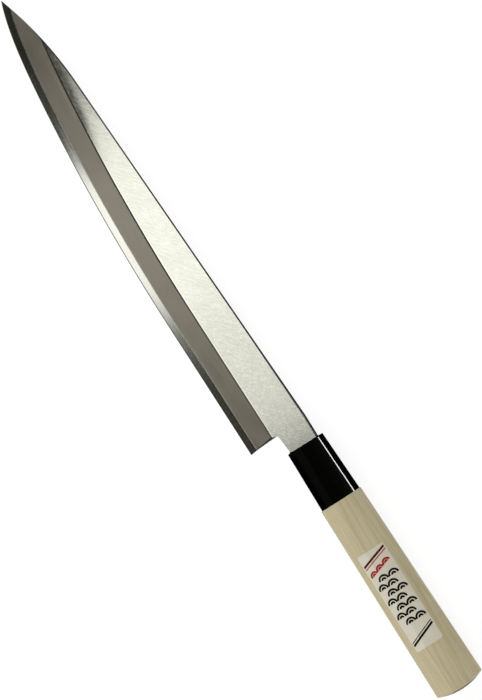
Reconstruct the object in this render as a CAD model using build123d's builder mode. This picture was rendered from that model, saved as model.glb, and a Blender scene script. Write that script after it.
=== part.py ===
from build123d import *
from math import acos, atan2, degrees, hypot, pi, sin, sqrt
import os

# Single-bevel slicing knife with a stick tang in a ridged oval handle, in millimetres.
# +X runs from the butt to the tip, +Y from the spine to the cutting edge,
# and +Z from the hollow back of the blade to its bevelled face.
# The origin is the middle of the outer box on its underside.
# A station is a distance along +X from the ferrule's mouth, and a reach is one across
# the knife from the handle's centre line towards the edge.

# Whole knife
overall_length = 414.4
blade_length = 268.8

# Outline of the blade, seen on its bevelled face
edge_reach = 26.5
heel_station = 9.7
notch_station = 11.8
notch_reach = 9.4
notch_round = 3.3
neck_edge_reach = 8.4
neck_spine_reach = 7.5
neck_depth = 3.0
spine_heel_station = 12.0
spine_heel_reach = 7.7
swoop_length = 53.8
swoop_spine_reach = 1.3
tip_reach = 8.4
belly_length = 183.8
belly_power = 2
point_power = 12
point_share = 0.21
belly_steps = 10
bevel_steps = 18

# Thickness of the blade, its bevel and its spine
neck_thickness = 3.8
point_thickness = 1.9
edge_land = 0.12
bevel_width = 14.0
spine_ease = 0.4
spine_spread = 45

# Hollow ground into the back, inside a flat rim
rim_width = 1.6
hollow_radius = 300.0
hollow_heel_gap = 5.0
hollow_end_length = 12.0
hollow_point_gap = 12.0
hollow_sections = 18

# Layer of hard steel welded to the back
hard_band = 3.6
steel_end_station = 5.0

# Tang inside the handle
tang_length = 98.0
tang_root_width = 11.0
tang_root_thickness = 3.4
tang_end_width = 5.0
tang_end_thickness = 2.2
tang_fit = 0.1

# Oval with one ridge, which the ferrule and the wood share
oval_share = 0.8
ridge_side_share = 0.19
ridge_rise_share = 0.1
ridge_round = 0.8

# Ferrule
ferrule_length = 33.0
ferrule_flare = 0.85
ferrule_edge_ease = 0.3
mouth_wall = 1.1
socket_wall = 0.7

# Seal that fills the ferrule's mouth round the neck
seal_wall = 0.8
seal_proud = 0.3
seal_bead_radius = 0.8

# Wooden handle and the round tenon that the ferrule sits on
wood_step = 0.55
wood_edge_ease = 0.25
butt_width = 26.4
dome_depth = 3.0
butt_rim = 1.5
butt_round = 0.7
tenon_length = 24.0
tenon_ease = 0.8
tenon_fit = 0.05
socket_gap = 0.5

# Paper label on the upper face of the wood
label_length = 56.0
label_width = 15.7
label_corner = 1.25
label_butt_gap = 27.7
label_side_reach = 0.2
paper_thickness = 0.15

# One overrun serves every cut that has to pass a face
overrun = 3.0

belly_station = blade_length - belly_length
swoop_station = blade_length - swoop_length
spine_slope = (spine_heel_reach - swoop_spine_reach) / (swoop_station - spine_heel_station)
mouth_half = max(neck_edge_reach, neck_spine_reach) + seal_wall + mouth_wall
rear_half = mouth_half + ferrule_flare
wood_half = rear_half + wood_step
socket_radius = mouth_half * oval_share - socket_wall
butt_half = butt_width / 2
dome_radius = (butt_half**2 + dome_depth**2) / (2 * dome_depth)
handle_length = overall_length - blade_length
mouth_x = overall_length / 2 - blade_length
shoulder_station = dome_depth + butt_rim - handle_length
label_station = label_butt_gap + label_length / 2 - handle_length
axis_y = (butt_half - edge_reach) / 2
axis_z = butt_half * oval_share
back_z = axis_z - neck_thickness / 2

plan = Plane(origin=(mouth_x, axis_y, back_z))


def cross_plane(station):
    """Plane across the knife at a station, its x along the reach and its y upwards."""
    return Plane(origin=(mouth_x + station, axis_y, axis_z), x_dir=(0, 1, 0), z_dir=(1, 0, 0))


def sloping_plane(mouth_height, tip_height):
    """Plane over the back that falls evenly from the mouth to the tip."""
    return Plane(
        origin=(mouth_x, axis_y, back_z + mouth_height),
        z_dir=(mouth_height - tip_height, 0, blade_length),
    )


def blade_height(station):
    """Thickness of the blade from its back to its upper face."""
    return neck_thickness - (neck_thickness - point_thickness) * station / blade_length


def edge_at(station):
    """Reach of the cutting edge: straight from the heel, then curving in to the tip."""
    run = max(0, (station - belly_station) / belly_length)
    fall_share = (1 - point_share) * run**belly_power + point_share * run**point_power
    return edge_reach - (edge_reach - tip_reach) * fall_share


def spine_at(station):
    """Reach of the spine: a straight line, then a parabola that drops to the tip."""
    line = spine_slope * (station - swoop_station) - swoop_spine_reach
    line_at_tip = spine_slope * swoop_length - swoop_spine_reach
    run = max(0, (station - swoop_station) / swoop_length)
    return line + (tip_reach - line_at_tip) * run**2


def stations_to_point(start, end, count):
    """Stations from start to end that draw together towards the end."""
    return [start + (end - start) * sin(pi / 2 * step / count) for step in range(count + 1)]


def bevel_guide(inset):
    """Curve on the bevel's surface at an inset from the edge, past the heel and the tip."""
    points = []
    for station in stations_to_point(heel_station - overrun, blade_length + overrun, bevel_steps):
        rise = (blade_height(station) - edge_land) * inset / bevel_width
        reach = edge_at(station) - inset
        points.append((mouth_x + station, axis_y + reach, back_z + edge_land + rise))
    with BuildLine() as guide:
        Spline(*points)
    return guide.edge()


def hollow_section(share):
    """Slice of the grinding wheel that leaves the back's hollow, at a share of its length."""
    start = heel_station + hollow_heel_gap
    length = blade_length - hollow_point_gap - start
    station = start + length * share
    run_in = min(1, (station + rim_width - start) / hollow_end_length)
    middle = (edge_at(station) + spine_at(station)) / 2
    half = ((edge_at(station) - spine_at(station)) / 2 - rim_width) * sqrt(1 - (1 - run_in) ** 2)
    depth = half**2 / (2 * hollow_radius)
    floor = -neck_thickness / 2
    with BuildSketch(cross_plane(station)) as section:
        with BuildLine():
            low = Polyline(
                (middle - half, floor),
                (middle - half, floor - overrun),
                (middle + half, floor - overrun),
                (middle + half, floor),
            )
            ThreePointArc(low @ 1, (middle, floor + depth), low @ 0)
        make_face()
    return section.sketch


def oval(station, half_width, growth=0):
    """Face across the handle: an oval whose two flats meet in a ridge on the upper side."""
    half_height = half_width * oval_share + growth
    half_width = half_width + growth
    # The ridge in shares of the half axes, and where its flats leave the oval
    ridge_top_share = sqrt(1 - ridge_side_share**2) + ridge_rise_share
    lean = atan2(ridge_top_share, ridge_side_share)
    spread = acos(1 / hypot(ridge_side_share, ridge_top_share))
    start = degrees(lean + spread)
    size = degrees(2 * (pi - spread))
    with BuildSketch(cross_plane(station)) as section:
        with BuildLine():
            arc = EllipticalCenterArc((0, 0), half_width, half_height, start, arc_size=size)
            ridge = (ridge_side_share * half_width, ridge_top_share * half_height)
            Polyline(arc @ 1, ridge, arc @ 0)
        make_face()
        fillet(section.vertices().sort_by(Axis.Z)[-1], ridge_round)
    return section.sketch


def tang_taper(fit):
    """Tang as a tapered bar, grown all round by a fit."""
    with BuildPart() as taper:
        with BuildSketch(cross_plane(-neck_depth)):
            Rectangle(tang_root_width + 2 * fit, tang_root_thickness + 2 * fit)
        with BuildSketch(cross_plane(-tang_length - fit)):
            Rectangle(tang_end_width + 2 * fit, tang_end_thickness + 2 * fit)
        loft(ruled=True)
    return taper.part


def mouth_pocket(start, end):
    """Block that the neck and its seal fill in the ferrule's mouth."""
    width = neck_edge_reach + neck_spine_reach + 2 * seal_wall
    with BuildPart() as pocket:
        with BuildSketch(cross_plane(start)):
            with Locations(((neck_edge_reach - neck_spine_reach) / 2, 0)):
                Rectangle(width, neck_thickness + 2 * seal_wall)
        extrude(amount=end - start)
    return pocket.part


# Whole blade as it leaves the grinder, before it is told apart into its two steels
with BuildPart() as ground_blade:
    with BuildSketch(plan) as outline:
        with BuildLine():
            neck = Line((-neck_depth, neck_edge_reach), (0, neck_edge_reach))
            notch = (notch_station, notch_reach)
            choil = FilletPolyline(neck @ 1, notch, (heel_station, edge_reach), radius=notch_round)
            Line(choil @ 1, (belly_station, edge_reach))
            belly_stations = stations_to_point(belly_station, blade_length, belly_steps)
            point_fall_share = belly_power * (1 - point_share) + point_power * point_share
            belly_points = [(place, edge_at(place)) for place in belly_stations]
            tip_slope = -point_fall_share * (edge_reach - tip_reach) / belly_length
            belly = Spline(*belly_points, tangents=[(1, 0), (1, tip_slope)])
            swoop = Bezier(
                belly @ 1,
                (swoop_station + swoop_length / 2, spine_slope * swoop_length / 2 - swoop_spine_reach),
                (swoop_station, -swoop_spine_reach),
            )
            Polyline(
                swoop @ 1,
                (spine_heel_station, -spine_heel_reach),
                (0, -neck_spine_reach),
                (-neck_depth, -neck_spine_reach),
                neck @ 0,
            )
        make_face()
    extrude(amount=neck_thickness + overrun)
    split(bisect_by=sloping_plane(neck_thickness, point_thickness), keep=Keep.BOTTOM)
    # The spine is the faces that look away from the edge
    away = Vector(0, -1, 0)
    spine = ground_blade.faces().filter_by(lambda face: face.normal_at().get_angle(away) < spine_spread)
    chamfer([face.edges().sort_by(Axis.Z)[-1] for face in spine], length=spine_ease)
    bevel = Face.make_surface_from_curves(bevel_guide(-overrun), bevel_guide(bevel_width + overrun))
    extrude(bevel, amount=neck_thickness + overrun, dir=(0, 0, 1), mode=Mode.SUBTRACT)
    hollow_slices = [hollow_section(step / hollow_sections) for step in range(hollow_sections + 1)]
    loft(hollow_slices, ruled=True, mode=Mode.SUBTRACT)

# Hard layer: the back of the blade, up to the weld and as far as the neck
with BuildPart() as cutting_steel:
    add(ground_blade.part)
    hard_share = hard_band / bevel_width
    split(
        bisect_by=sloping_plane(
            edge_land + (neck_thickness - edge_land) * hard_share,
            edge_land + (point_thickness - edge_land) * hard_share,
        ),
        keep=Keep.BOTTOM,
    )
    split(bisect_by=cross_plane(steel_end_station), keep=Keep.TOP)

# Soft iron: the rest of the blade, its neck and the tang
with BuildPart() as blade_body:
    add(ground_blade.part)
    add(cutting_steel.part, mode=Mode.SUBTRACT)
    add(tang_taper(0))

# Ferrule: a cap with a mouth for the neck, a slot for the tang and a socket for the tenon
with BuildPart() as ferrule:
    ferrule_front = oval(-ferrule_edge_ease, mouth_half)
    loft([oval(0, mouth_half - ferrule_edge_ease), ferrule_front])
    loft([ferrule_front, oval(-ferrule_length, rear_half)])
    add(mouth_pocket(0, -neck_depth), mode=Mode.SUBTRACT)
    add(tang_taper(tang_fit), mode=Mode.SUBTRACT)
    with BuildSketch(cross_plane(-ferrule_length)):
        Circle(socket_radius)
    extrude(amount=tenon_length + socket_gap, mode=Mode.SUBTRACT)

# Seal round the neck, a little proud of the mouth, with a bead at its edge-side corner
with BuildPart() as mouth_seal:
    with Locations((mouth_x, axis_y + neck_edge_reach - seal_bead_radius, back_z + neck_thickness)):
        Sphere(seal_bead_radius)
    split(bisect_by=cross_plane(0), keep=Keep.TOP)
    add(mouth_pocket(seal_proud, -neck_depth))
    add(ground_blade.part, mode=Mode.SUBTRACT)

# Wood: a tapering ridged oval with a domed butt, and a tenon in front
with BuildPart() as handle:
    shoulder = oval(shoulder_station, butt_half)
    extrude(shoulder, amount=-(dome_depth + butt_rim + overrun))
    with Locations((dome_radius - overall_length / 2, axis_y, axis_z)):
        Sphere(dome_radius, mode=Mode.INTERSECT)
    fillet(handle.faces().filter_by(GeomType.SPHERE).edges(), butt_round)
    front = oval(-ferrule_length - wood_edge_ease, wood_half)
    loft([shoulder, front])
    loft([front, oval(-ferrule_length, wood_half - wood_edge_ease)])
    with BuildSketch(cross_plane(-ferrule_length)):
        Circle(socket_radius - tenon_fit)
    extrude(amount=tenon_length)
    chamfer(handle.faces().sort_by(Axis.X)[-1].edges(), tenon_ease)
    add(tang_taper(tang_fit), mode=Mode.SUBTRACT)

# Label: a skin of paper over the top of the wood
with BuildPart() as label:
    above_tang = axis_z + tang_root_thickness
    with BuildSketch(Plane(origin=(mouth_x + label_station, axis_y + label_side_reach, above_tang))):
        RectangleRounded(label_length, label_width, label_corner)
    extrude(amount=butt_width)
    paper_front = oval(-ferrule_length, wood_half, growth=paper_thickness)
    paper_rear = oval(shoulder_station, butt_half, growth=paper_thickness)
    loft([paper_front, paper_rear], mode=Mode.INTERSECT)
    add(handle.part, mode=Mode.SUBTRACT)

os.makedirs("parts", exist_ok=True)

blade_body.part.label = "blade_body"
export_step(blade_body.part, "parts/blade_body.step")

cutting_steel.part.label = "cutting_steel"
export_step(cutting_steel.part, "parts/cutting_steel.step")

ferrule.part.label = "ferrule"
export_step(ferrule.part, "parts/ferrule.step")

mouth_seal.part.label = "mouth_seal"
export_step(mouth_seal.part, "parts/mouth_seal.step")

handle.part.label = "handle"
export_step(handle.part, "parts/handle.step")

label.part.label = "label"
export_step(label.part, "parts/label.step")
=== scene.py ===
"""Dresses the single-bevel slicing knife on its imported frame.

Lengths are metres in the frame's own axes: +X runs from the butt to the tip, +Y from the spine
to the cutting edge, and +Z from the hollow back of the blade to its bevelled face.
A station is a distance along +X from the ferrule's mouth, a reach is one across the knife from
the handle's centre line towards the edge, and a height is one above that line.
"""
import logging
from collections.abc import Callable, Iterable
from dataclasses import dataclass, replace
from enum import Enum
from math import acos, atan2, cos, hypot, pi, radians, sin, sqrt, tan

import bmesh
import bpy
from mathutils import Matrix, Vector


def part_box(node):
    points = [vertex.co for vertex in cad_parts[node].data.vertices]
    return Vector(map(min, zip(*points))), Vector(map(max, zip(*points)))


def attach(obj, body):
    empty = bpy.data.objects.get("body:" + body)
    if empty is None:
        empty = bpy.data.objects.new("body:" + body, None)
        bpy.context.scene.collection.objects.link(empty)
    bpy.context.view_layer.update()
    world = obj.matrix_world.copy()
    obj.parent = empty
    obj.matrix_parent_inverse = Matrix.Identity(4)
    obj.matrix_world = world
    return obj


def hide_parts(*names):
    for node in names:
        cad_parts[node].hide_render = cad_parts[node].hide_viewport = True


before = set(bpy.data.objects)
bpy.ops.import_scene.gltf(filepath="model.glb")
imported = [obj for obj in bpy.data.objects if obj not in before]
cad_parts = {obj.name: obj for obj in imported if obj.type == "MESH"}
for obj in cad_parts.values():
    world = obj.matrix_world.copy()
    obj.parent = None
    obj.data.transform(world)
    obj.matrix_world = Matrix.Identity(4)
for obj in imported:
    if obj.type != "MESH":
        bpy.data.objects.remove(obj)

log = logging.getLogger("knife")

Pair = tuple[float, float]
Point = tuple[float, float, float]
Colour = tuple[float, float, float, float]
Ring = list[Point]
Socket = bpy.types.NodeSocket
# What a node's input or option takes
Value = Socket | bpy.types.ID | float | bool | str | tuple

BODY = "root"
MM = 0.001
# Points nearer than this are one
SPECK = MM / 1000
# Units of the blade's own map in a metre
UV_SCALE = 10.0


class Row(Enum):
    """Rows of faces along the blade, each with a finish of its own."""

    WALL = 0
    SPINE = 1
    EASE = 2
    FLAT = 3
    BEVEL = 4
    BAND = 5
    BACK = 6


class Zone(Enum):
    """What the edge side of a ring across the blade follows."""

    NECK = "the neck's wall"
    HEEL = "the heel's line"
    MAIN = "the ground bevel"


@dataclass(frozen=True)
class Place:
    """Where the frame puts the handle's centre line, the mouth and the blade's back."""

    mouth_x: float
    axis_y: float
    axis_z: float
    back: float

    def at(self, station: float, reach: float, height: float) -> Point:
        """Point of the frame at a station, a reach and a height."""
        return (self.mouth_x + station, self.axis_y + reach, self.axis_z + height)


def read_place(oval_share: float) -> Place:
    """Work out the knife's datum lines from the frame's boxes.

    Args:
        oval_share: height of the handle's oval as a share of its width.

    Returns:
        The datum lines.
    """
    _, ferrule_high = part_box("ferrule")
    handle_low, handle_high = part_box("handle")
    steel_low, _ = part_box("cutting_steel")
    half_width = (handle_high[1] - handle_low[1]) / 2
    axis_z = handle_low[2] + half_width * oval_share
    return Place(
        mouth_x=ferrule_high[0],
        axis_y=(handle_low[1] + handle_high[1]) / 2,
        axis_z=axis_z,
        back=steel_low[2] - axis_z,
    )


# Shaping


def between(low: float, high: float, share: float) -> float:
    """Value at a share of the way from low to high."""
    return low + (high - low) * share


def held(value: float, low: float = 0.0, high: float = 1.0) -> float:
    """Value kept between two bounds."""
    return min(max(value, low), high)


def smooth(share: float) -> float:
    """Share from 0 to 1 that starts and ends gently."""
    return share * share * (3 - 2 * share)


def steps(start: float, end: float, count: int) -> list[float]:
    """Evenly spaced values from start to end, both included."""
    return [between(start, end, step / count) for step in range(count + 1)]


def steps_to_point(start: float, end: float, count: int) -> list[float]:
    """Values from start to end that draw together towards the end."""
    return [between(start, end, sin(pi / 2 * step / count)) for step in range(count + 1)]


def arc(centre: Vector, start: Vector, end: Vector, count: int) -> list[Vector]:
    """Points on the shorter arc round a centre, from start to end, both included."""
    spokes = [(start - centre).slerp(end - centre, share) for share in steps(0, 1, count)]
    return [centre + spoke.normalized() * (start - centre).length for spoke in spokes]


def rounded_corner(corner: Vector, before: Vector, after: Vector, radius: float, count: int) -> list[Vector]:
    """Round a corner off.

    Args:
        corner: the sharp corner.
        before: unit direction from it to the point before.
        after: unit direction from it to the point after.
        radius: radius of the rounding.
        count: steps along it.

    Returns:
        Points on the rounding, both ends included.
    """
    half_angle = before.angle(after) / 2
    setback = radius / tan(half_angle)
    centre = corner + (before + after).normalized() * radius / sin(half_angle)
    return arc(centre, corner + before * setback, corner + after * setback, count)


def skin(
    name: str,
    rings: list[Ring],
    materials: Iterable[bpy.types.Material],
    finish_at: Callable[[int, int], int] = lambda ring, row: 0,
    creases: Iterable[int] = (),
    joined: bool = False,
    uv_of: Callable[[Vector], Pair] | None = None,
    crease_angle: float = radians(40),
) -> bpy.types.Object:
    """Draw a closed surface over rings that all hold the same number of points.

    Args:
        name: name of the piece.
        rings: the rings in order; a ring's last point is joined to its first.
        materials: the piece's materials, in the order that finish_at counts them.
        finish_at: gives the material of the faces after a ring and a row.
        creases: rows whose lengthwise edge is sharp.
        joined: whether the last ring is joined to the first, instead of both being capped.
        uv_of: gives a point's place on the finish, where the finish follows the surface.
        crease_angle: edges that turn further than this are sharp.

    Returns:
        The new object, at the origin, with its place in its mesh.
    """
    mesh = bpy.data.meshes.new(name)
    work = bmesh.new()
    rows = [[work.verts.new(point) for point in ring] for ring in rings]
    count = len(rings[0])
    pairs = list(zip(rows, rows[1:]))
    if joined:
        pairs.append((rows[-1], rows[0]))
    for ring, (near, far) in enumerate(pairs):
        for row in range(count):
            after = (row + 1) % count
            face = work.faces.new((near[row], near[after], far[after], far[row]))
            face.material_index = finish_at(ring, row)
            face.smooth = True
    if not joined:
        for cap in (rows[0][::-1], rows[-1]):
            work.faces.new(cap)
    for near, far in pairs:
        for row in creases:
            work.edges.get((near[row], far[row])).smooth = False
    bmesh.ops.remove_doubles(work, verts=work.verts, dist=SPECK)
    bmesh.ops.dissolve_degenerate(work, edges=work.edges, dist=SPECK)
    bmesh.ops.recalc_face_normals(work, faces=work.faces)
    for edge in work.edges:
        if edge.calc_face_angle(0) > crease_angle:
            edge.smooth = False
    if uv_of:
        layer = work.loops.layers.uv.new("surface")
        for face in work.faces:
            for loop in face.loops:
                loop[layer].uv = uv_of(loop.vert.co)
    work.to_mesh(mesh)
    work.free()
    for material in materials:
        mesh.materials.append(material)
    return show(name, mesh)


def show(name: str, data: bpy.types.ID) -> bpy.types.Object:
    """Put a mesh, lamp or camera into the scene.

    Args:
        name: name of the new object.
        data: what it holds.

    Returns:
        The new object, at the origin.
    """
    shown = bpy.data.objects.new(name, data)
    bpy.context.scene.collection.objects.link(shown)
    return shown


def mount(piece: bpy.types.Object, slot: str, *nodes: str) -> bpy.types.Object:
    """Put a piece on the knife's body.

    Args:
        piece: the finished piece.
        slot: material slot of the record that it takes its finish from; not used.
        nodes: nodes of the frame that it stands for.

    Returns:
        The same piece.
    """
    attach(piece, BODY)
    if nodes:
        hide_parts(*nodes)
    return piece


# Nodes


class Nodes:
    """Lays the nodes of one tree and joins them."""

    def __init__(self, tree: bpy.types.NodeTree) -> None:
        """Take a tree of a material, a world or a modifier, and empty it."""
        self.tree = tree
        self.tree.nodes.clear()

    def feed(self, socket: Socket, value: Value) -> None:
        """Join a node's input to an output, or set its value.

        Args:
            socket: the input.
            value: another node's output, or a plain value.
        """
        if isinstance(value, Socket):
            self.tree.links.new(value, socket)
        else:
            socket.default_value = value

    def lay(
        self, kind: str, sockets: dict[int | str, Value] | None = None, **settings: Value
    ) -> bpy.types.Node:
        """Add a node.

        Args:
            kind: Blender's name of the node.
            sockets: values or outputs for the node's inputs, by name or number.
            settings: the node's own options.

        Returns:
            The new node.
        """
        node = self.tree.nodes.new(kind)
        for option, value in settings.items():
            setattr(node, option, value)
        for key, value in (sockets or {}).items():
            self.feed(node.inputs[key], value)
        return node

    def maths(self, operation: str, *values: Value) -> Socket:
        """Result of a Math node."""
        return self.lay("ShaderNodeMath", dict(enumerate(values)), operation=operation).outputs[0]

    def vector(self, *parts: Value) -> Socket:
        """Vector of three parts."""
        return self.lay("ShaderNodeCombineXYZ", dict(enumerate(parts))).outputs[0]

    def parts(self, vector: Socket) -> list[Socket]:
        """Three parts of a vector."""
        return list(self.lay("ShaderNodeSeparateXYZ", {0: vector}).outputs)

    def spread(self, value: Socket, span: Pair, result: Pair = (0.0, 1.0)) -> Socket:
        """Value carried from one range to another and held inside it."""
        return self.lay("ShaderNodeMapRange", dict(enumerate((value, *span, *result)))).outputs[0]


# Finishes


def tone(red: float, green: float, blue: float) -> Colour:
    """Colour with full opacity."""
    return (red, green, blue, 1.0)


def grey(level: float) -> Colour:
    """Neutral colour with full opacity."""
    return tone(level, level, level)


class Source(Enum):
    """Coordinates that a finish's pattern follows."""

    OBJECT = "Object"
    MAP = "UV"


@dataclass(frozen=True)
class Grain:
    """Noise that a finish is made of.

    A stretch under 1 draws it out along X, and the bend curls it.
    """

    scale: float
    stretch: float = 1.0
    octaves: float = 2.0
    roughness: float = 0.5
    bend: float = 0.0


class Bench(Nodes):
    """Lays the nodes of one material round its shader."""

    def __init__(self, name: str) -> None:
        """Start a material, which holds a shader and its output.

        Args:
            name: name of the material.
        """
        self.material = bpy.data.materials.new(name)
        self.material.use_nodes = True
        super().__init__(self.material.node_tree)
        self.shader = self.lay("ShaderNodeBsdfPrincipled")
        self.lay("ShaderNodeOutputMaterial", {"Surface": self.shader.outputs["BSDF"]})

    def set(self, **sockets: Value) -> None:
        """Give the shader's sockets, with _ for a space in their names, values or outputs."""
        for key, value in sockets.items():
            self.feed(self.shader.inputs[key.replace("_", " ")], value)

    def place(self, source: Source = Source.OBJECT, turn: float = 0.0, stretch: float = 1.0) -> Socket:
        """Lay coordinates for a pattern.

        Args:
            source: what the pattern follows.
            turn: angle about Z from the X axis to the pattern's own.
            stretch: scale along that axis, which draws the pattern out where it is under 1.

        Returns:
            The coordinates.
        """
        coordinates = self.lay("ShaderNodeTexCoord").outputs[source.value]
        sockets = {"Vector": coordinates, "Rotation": (0, 0, turn), "Scale": (1 / stretch, 1, 1)}
        return self.lay("ShaderNodeMapping", sockets, vector_type="TEXTURE").outputs[0]

    def noise(self, grain: Grain, source: Source = Source.OBJECT, turn: float = 0.0) -> Socket:
        """Lay a noise.

        Args:
            grain: what it looks like.
            source: what it follows.
            turn: angle about Z that it is turned by.

        Returns:
            Its value.
        """
        return self.lay("ShaderNodeTexNoise", {
            "Vector": self.place(source, turn, grain.stretch), "Scale": grain.scale,
            "Detail": grain.octaves, "Roughness": grain.roughness, "Distortion": grain.bend,
        }).outputs[0]

    def blend(self, share: Socket, first: Value, second: Value) -> Socket:
        """Colour mixed from two colours by a share of the second."""
        return self.lay("ShaderNodeMix", {0: share, 6: first, 7: second}, data_type="RGBA").outputs[2]

    def bump(self, height: Socket, depth: float, strength: float = 1.0) -> None:
        """Raise the surface by a height from 0 to 1, to a depth in metres."""
        sockets = {"Height": height, "Distance": depth, "Strength": strength}
        self.set(Normal=self.lay("ShaderNodeBump", sockets).outputs[0])


@dataclass(frozen=True)
class Run:
    """Share that goes from near to far between two places along the blade."""

    start: float
    end: float
    near: float
    far: float

    def lay(self, bench: Bench, along: Socket) -> Socket:
        """Lay the share's node on a bench, from the place along the blade."""
        return bench.spread(along, (self.start * UV_SCALE, self.end * UV_SCALE), (self.near, self.far))


@dataclass(frozen=True)
class Line:
    """Fine line along the blade at an inset from the cutting edge, whose strength may run out."""

    inset: float
    half_width: float
    colour: Colour
    roughness: float
    strength: Run | None = None

    def draw(self, bench: Bench, along: Socket, inset: Socket) -> Socket:
        """Lay the nodes of the line.

        Args:
            bench: the finish's bench.
            along: place along the blade.
            inset: place in from the cutting edge.

        Returns:
            How much of the line shows.
        """
        off = bench.maths("ABSOLUTE", bench.maths("SUBTRACT", inset, self.inset * UV_SCALE))
        edge = self.half_width * UV_SCALE
        drawn = bench.spread(off, (edge / 2, edge), (1, 0))
        if self.strength:
            drawn = bench.maths("MULTIPLY", drawn, self.strength.lay(bench, along))
        return drawn


@dataclass(frozen=True)
class SteelFinish:
    """Bare steel as a grinder or a stone leaves it.

    The scratches run along the blade, turned by scratch_turn, with soft clouds among them. On
    the blade's own map they follow the cutting edge, as the lines always do. The painted tip
    shade darkens the steel's colour towards the tip, painted shade that stands in for the
    darker reflections there, and grazing is the share of its gloss that is left where it turns
    away. The mottle darkens it in small spots, which thin out towards the tip.
    """

    name: str
    pale: Colour
    dark: Colour
    roughness: Pair
    scratches: Grain = Grain(900.0, stretch=0.08, octaves=3, roughness=0.6)
    scratch_turn: float = 0.0
    scratch_depth: float = 0.01 * MM
    cloud_coarseness: float = 12.0
    cloud_share: float = 0.3
    tone_span: Pair = (0.35, 0.65)
    gloss_span: Pair = (0.3, 0.7)
    source: Source = Source.OBJECT
    grazing: float = 1.0
    painted_tip_shade: Run | None = None
    mottle_share: float = 0.0
    mottle: Grain = Grain(680.0)
    mottle_span: Pair = (0.4, 0.62)
    mottle_run: Run = Run(start=20 * MM, end=125 * MM, near=1.0, far=0.2)
    lines: tuple[Line, ...] = ()

    def make(self) -> bpy.types.Material:
        """Build the material.

        Returns:
            The new material.
        """
        bench = Bench(self.name)
        clouds = Grain(self.scratches.scale / self.cloud_coarseness, octaves=self.scratches.octaves)
        scratch = bench.noise(self.scratches, self.source, self.scratch_turn)
        cloud = bench.maths("MULTIPLY", bench.noise(clouds, self.source), self.cloud_share)
        mix = bench.maths("MULTIPLY_ADD", scratch, 1 - self.cloud_share, cloud)
        colour = bench.blend(bench.spread(mix, self.tone_span), self.dark, self.pale)
        roughness = bench.spread(mix, self.gloss_span, self.roughness)
        along, inset, _ = bench.parts(bench.place(Source.MAP))
        # Painted shade: the colour is darkened towards the tip
        if self.painted_tip_shade:
            colour = bench.blend(self.painted_tip_shade.lay(bench, along), colour, grey(0))
        if self.mottle_share > 0:
            spot = bench.noise(self.mottle, self.source)
            spots = bench.spread(spot, self.mottle_span, (0, self.mottle_share))
            shown = bench.maths("MULTIPLY", spots, self.mottle_run.lay(bench, along))
            colour = bench.blend(shown, colour, self.dark)
        for line in self.lines:
            drawn = line.draw(bench, along, inset)
            colour = bench.blend(drawn, colour, line.colour)
            change = bench.maths("SUBTRACT", line.roughness, roughness)
            roughness = bench.maths("ADD", roughness, bench.maths("MULTIPLY", drawn, change))
        bench.set(Base_Color=colour, Metallic=1.0, Roughness=roughness, Specular_Tint=grey(self.grazing))
        bench.bump(scratch, self.scratch_depth)
        return bench.material


@dataclass(frozen=True)
class GlossFinish:
    """Polished black plastic or set resin, with faint polishing swirls.

    Its gloss fades within turned_span, where the surface turns away.
    """

    name: str
    colour: Colour
    roughness: Pair
    swirl_colour: Colour = grey(0.0005)
    swirls: Grain = Grain(350.0, octaves=4)
    swirl_span: Pair = (0.3, 0.7)
    ior: float = 1.45
    gloss: float = 0.2
    turned_span: Pair = (0.22, 0.27)

    def make(self) -> bpy.types.Material:
        """Build the material.

        Returns:
            The new material.
        """
        bench = Bench(self.name)
        swirl = bench.noise(self.swirls)
        turned = bench.lay("ShaderNodeLayerWeight").outputs["Facing"]
        bench.set(
            Base_Color=bench.blend(swirl, self.colour, self.swirl_colour),
            Roughness=bench.spread(swirl, self.swirl_span, self.roughness),
            IOR=self.ior,
            Specular_IOR_Level=bench.spread(turned, self.turned_span, (self.gloss, 0.0)),
        )
        return bench.material


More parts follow.
